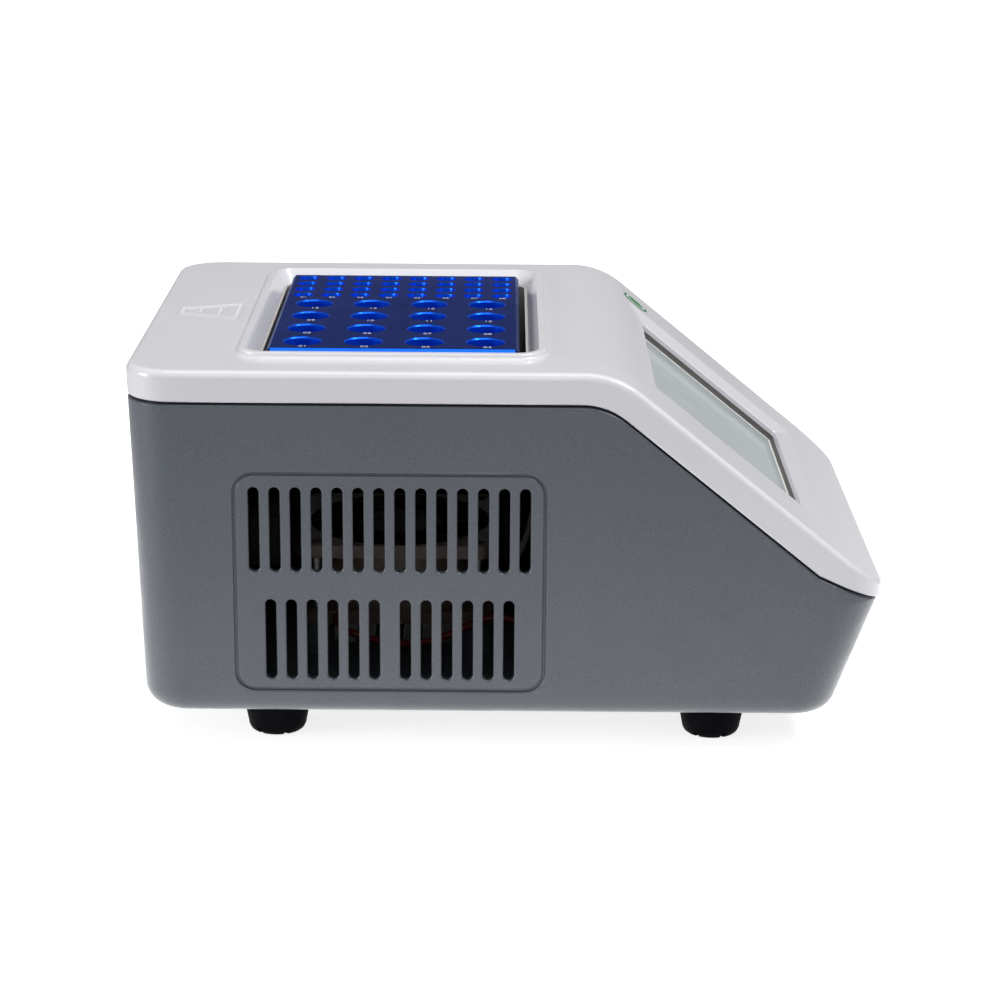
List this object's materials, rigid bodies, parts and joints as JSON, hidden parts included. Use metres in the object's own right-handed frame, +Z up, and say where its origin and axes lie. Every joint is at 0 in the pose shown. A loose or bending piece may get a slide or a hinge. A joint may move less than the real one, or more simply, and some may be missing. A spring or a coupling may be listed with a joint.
{
  "type": "dry bath incubator",
  "caption": "Bench dry bath incubator: vented grey case, pale cover with a sloped touch display, and a lift-out heating block with tube wells.",
  "frame": {"origin": "middle of the footprint, on the surface that it stands on", "axes": "+Z up, front with the display towards -Y, user's right +X"},
  "size_m": [0.1634, 0.2202, 0.1158],
  "materials": {
    "case_plastic": "fine moulded grain, satin grey",
    "cover_plastic": "smooth satin gloss, off-white",
    "anodised_blue": "blue anodised, fine milled",
    "liner_plastic": "pale heat-resistant plastic",
    "bare_aluminium": "milled",
    "silicone_red": "matt silicone",
    "dark_plastic": "matt moulded",
    "zinc_steel": "zinc plated",
    "fan_plastic": "glass-filled, satin black",
    "fan_frame_plastic": "glass-filled, dark grey-brown",
    "gasket_rubber": "matt foam rubber",
    "screen_glass": "touch screen, switched off",
    "lcd_panel": "display panel, switched off",
    "circuit_board": "green solder mask",
    "connector_plastic": "moulded housings",
    "ribbon_plastic": "flat ribbon",
    "transformer_tape": "taped winding",
    "relay_plastic": "moulded relay case",
    "lead_red": "PVC insulation",
    "lead_white": "PVC insulation",
    "lead_black": "PVC insulation",
    "inlet_plastic": "satin black",
    "pin_brass": "nickel plated",
    "rocker_plastic": "satin black",
    "fuse_glass": "clear tube",
    "foot_rubber": "matt",
    "green_film": "printed film"
  },
  "bodies": {
    "housing": {"lower_case": "case_plastic", "top_cover": "cover_plastic", "well_liner": "liner_plastic", "heater_plate": "bare_aluminium", "heater_mat": "silicone_red", "thermal_cutout": "dark_plastic", "temperature_probe": "bare_aluminium", "plate_screws": "zinc_steel", "fan_frame": "fan_frame_plastic", "fan_screws": "zinc_steel", "display_gasket": "gasket_rubber", "touch_glass": "screen_glass", "display_module": "lcd_panel", "display_board": "circuit_board", "display_screws": "zinc_steel", "buzzer": "dark_plastic", "ribbon_sockets": "connector_plastic", "display_ribbon": "ribbon_plastic", "power_board": "circuit_board", "power_board_screws": "zinc_steel", "supply_transformer": "transformer_tape", "bulk_capacitors": "dark_plastic", "supply_heat_sink": "bare_aluminium", "power_transistors": "dark_plastic", "board_connectors": "connector_plastic", "control_board": "circuit_board", "control_board_screws": "zinc_steel", "control_chip": "dark_plastic", "heater_relay": "relay_plastic", "fan_lead": "lead_red", "probe_lead": "lead_white", "heater_lead": "lead_black", "mains_lead": "lead_black", "power_inlet": "inlet_plastic", "inlet_pins": "pin_brass", "inlet_boot": "gasket_rubber", "inlet_screws": "zinc_steel", "foot_front_left": "foot_rubber", "foot_front_right": "foot_rubber", "foot_rear_left": "foot_rubber", "foot_rear_right": "foot_rubber", "foot_screws": "zinc_steel", "case_screws": "zinc_steel", "round_sticker": "green_film"},
    "block": {"heating_block": "anodised_blue"},
    "fan_rotor": {"fan_rotor": "fan_plastic"},
    "power_rocker": {"power_rocker": "rocker_plastic"},
    "fuse_drawer": {"fuse_drawer": "inlet_plastic", "fuse_cartridge": "fuse_glass"}
  },
  "joints": [
    {"name": "block_lift", "type": "slide", "parent": "housing", "child": "block", "axis": [0, 0, 1], "range_m": [0, 0.045]},
    {"name": "fan_spin", "type": "hinge", "parent": "housing", "child": "fan_rotor", "pos_m": [0, 0.0335, 0.035], "axis": [0, 0, 1], "continuous": true},
    {"name": "power_rocker_tilt", "type": "hinge", "parent": "housing", "child": "power_rocker", "pos_m": [0.03, 0.1058, 0.0606], "axis": [0, 0, 1], "range_deg": [0, 16]},
    {"name": "fuse_drawer_slide", "type": "slide", "parent": "housing", "child": "fuse_drawer", "axis": [0, 1, 0], "range_m": [0, 0.018]}
  ]
}
